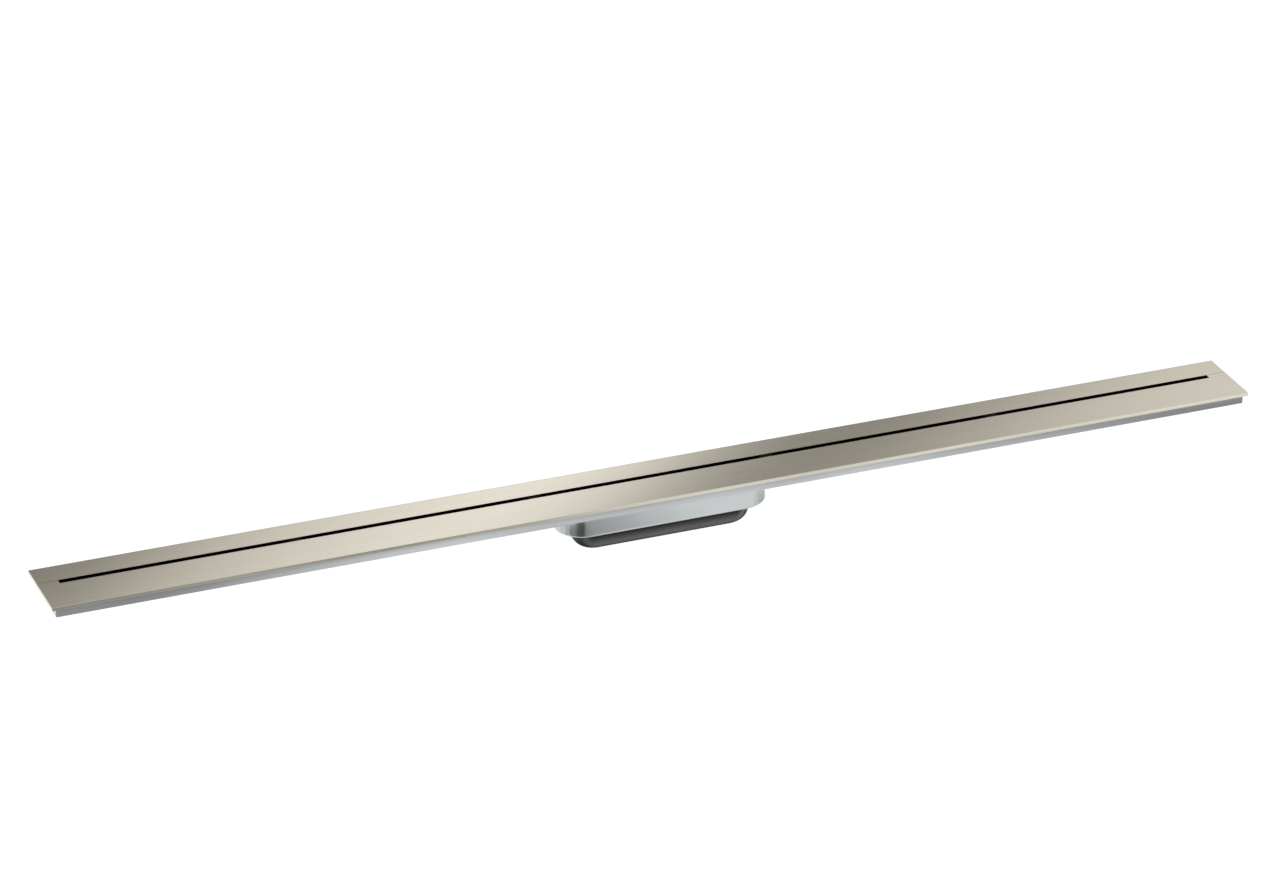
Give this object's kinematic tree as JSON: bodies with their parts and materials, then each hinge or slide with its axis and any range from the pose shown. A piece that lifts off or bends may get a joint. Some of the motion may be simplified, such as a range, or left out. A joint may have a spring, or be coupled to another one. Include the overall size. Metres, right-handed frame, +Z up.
{
  "type": "linear shower drain",
  "caption": "Long narrow shower drain: slotted brushed cover over a shallow tray, with a sump tub and drop-in water trap under its middle.",
  "frame": {"origin": "under the middle of the drain, level with the flat bottom of the trap body", "axes": "+X along the drain, +Y towards the side that the slot is nearer to, +Z up"},
  "size_m": [1, 0.0654, 0.0445],
  "materials": {
    "cover_steel": "warm nickel-toned stainless plate, brushed along its length",
    "tray_steel": "cool silver stainless sheet, mill finish",
    "tub_steel": "cool silver drawn stainless sheet, satin",
    "bridge_steel": "folded stainless strip, mill finish",
    "trap_plastic": "anthracite moulded plastic, satin",
    "bell_plastic": "grey moulded plastic, satin",
    "strainer_plastic": "dark moulded plastic, satin",
    "pad_rubber": "black rubber pad",
    "seal_rubber": "black flat rubber seal"
  },
  "bodies": {
    "root": {"rear_cover_strip": "cover_steel", "front_cover_strip": "cover_steel", "channel_tray": "tray_steel", "sump_tub": "tub_steel", "trap_seal": "seal_rubber", "trap_body": "trap_plastic", "trap_bell": "bell_plastic", "hair_strainer": "strainer_plastic", "cover_bridge_1": "bridge_steel", "bridge_pad_front_1": "pad_rubber", "bridge_pad_rear_1": "pad_rubber", "cover_bridge_2": "bridge_steel", "bridge_pad_front_2": "pad_rubber", "bridge_pad_rear_2": "pad_rubber", "cover_bridge_3": "bridge_steel", "bridge_pad_front_3": "pad_rubber", "bridge_pad_rear_3": "pad_rubber", "cover_bridge_4": "bridge_steel", "bridge_pad_front_4": "pad_rubber", "bridge_pad_rear_4": "pad_rubber", "cover_bridge_5": "bridge_steel", "bridge_pad_front_5": "pad_rubber", "bridge_pad_rear_5": "pad_rubber", "cover_bridge_6": "bridge_steel", "bridge_pad_front_6": "pad_rubber", "bridge_pad_rear_6": "pad_rubber"}
  },
  "joints": []
}
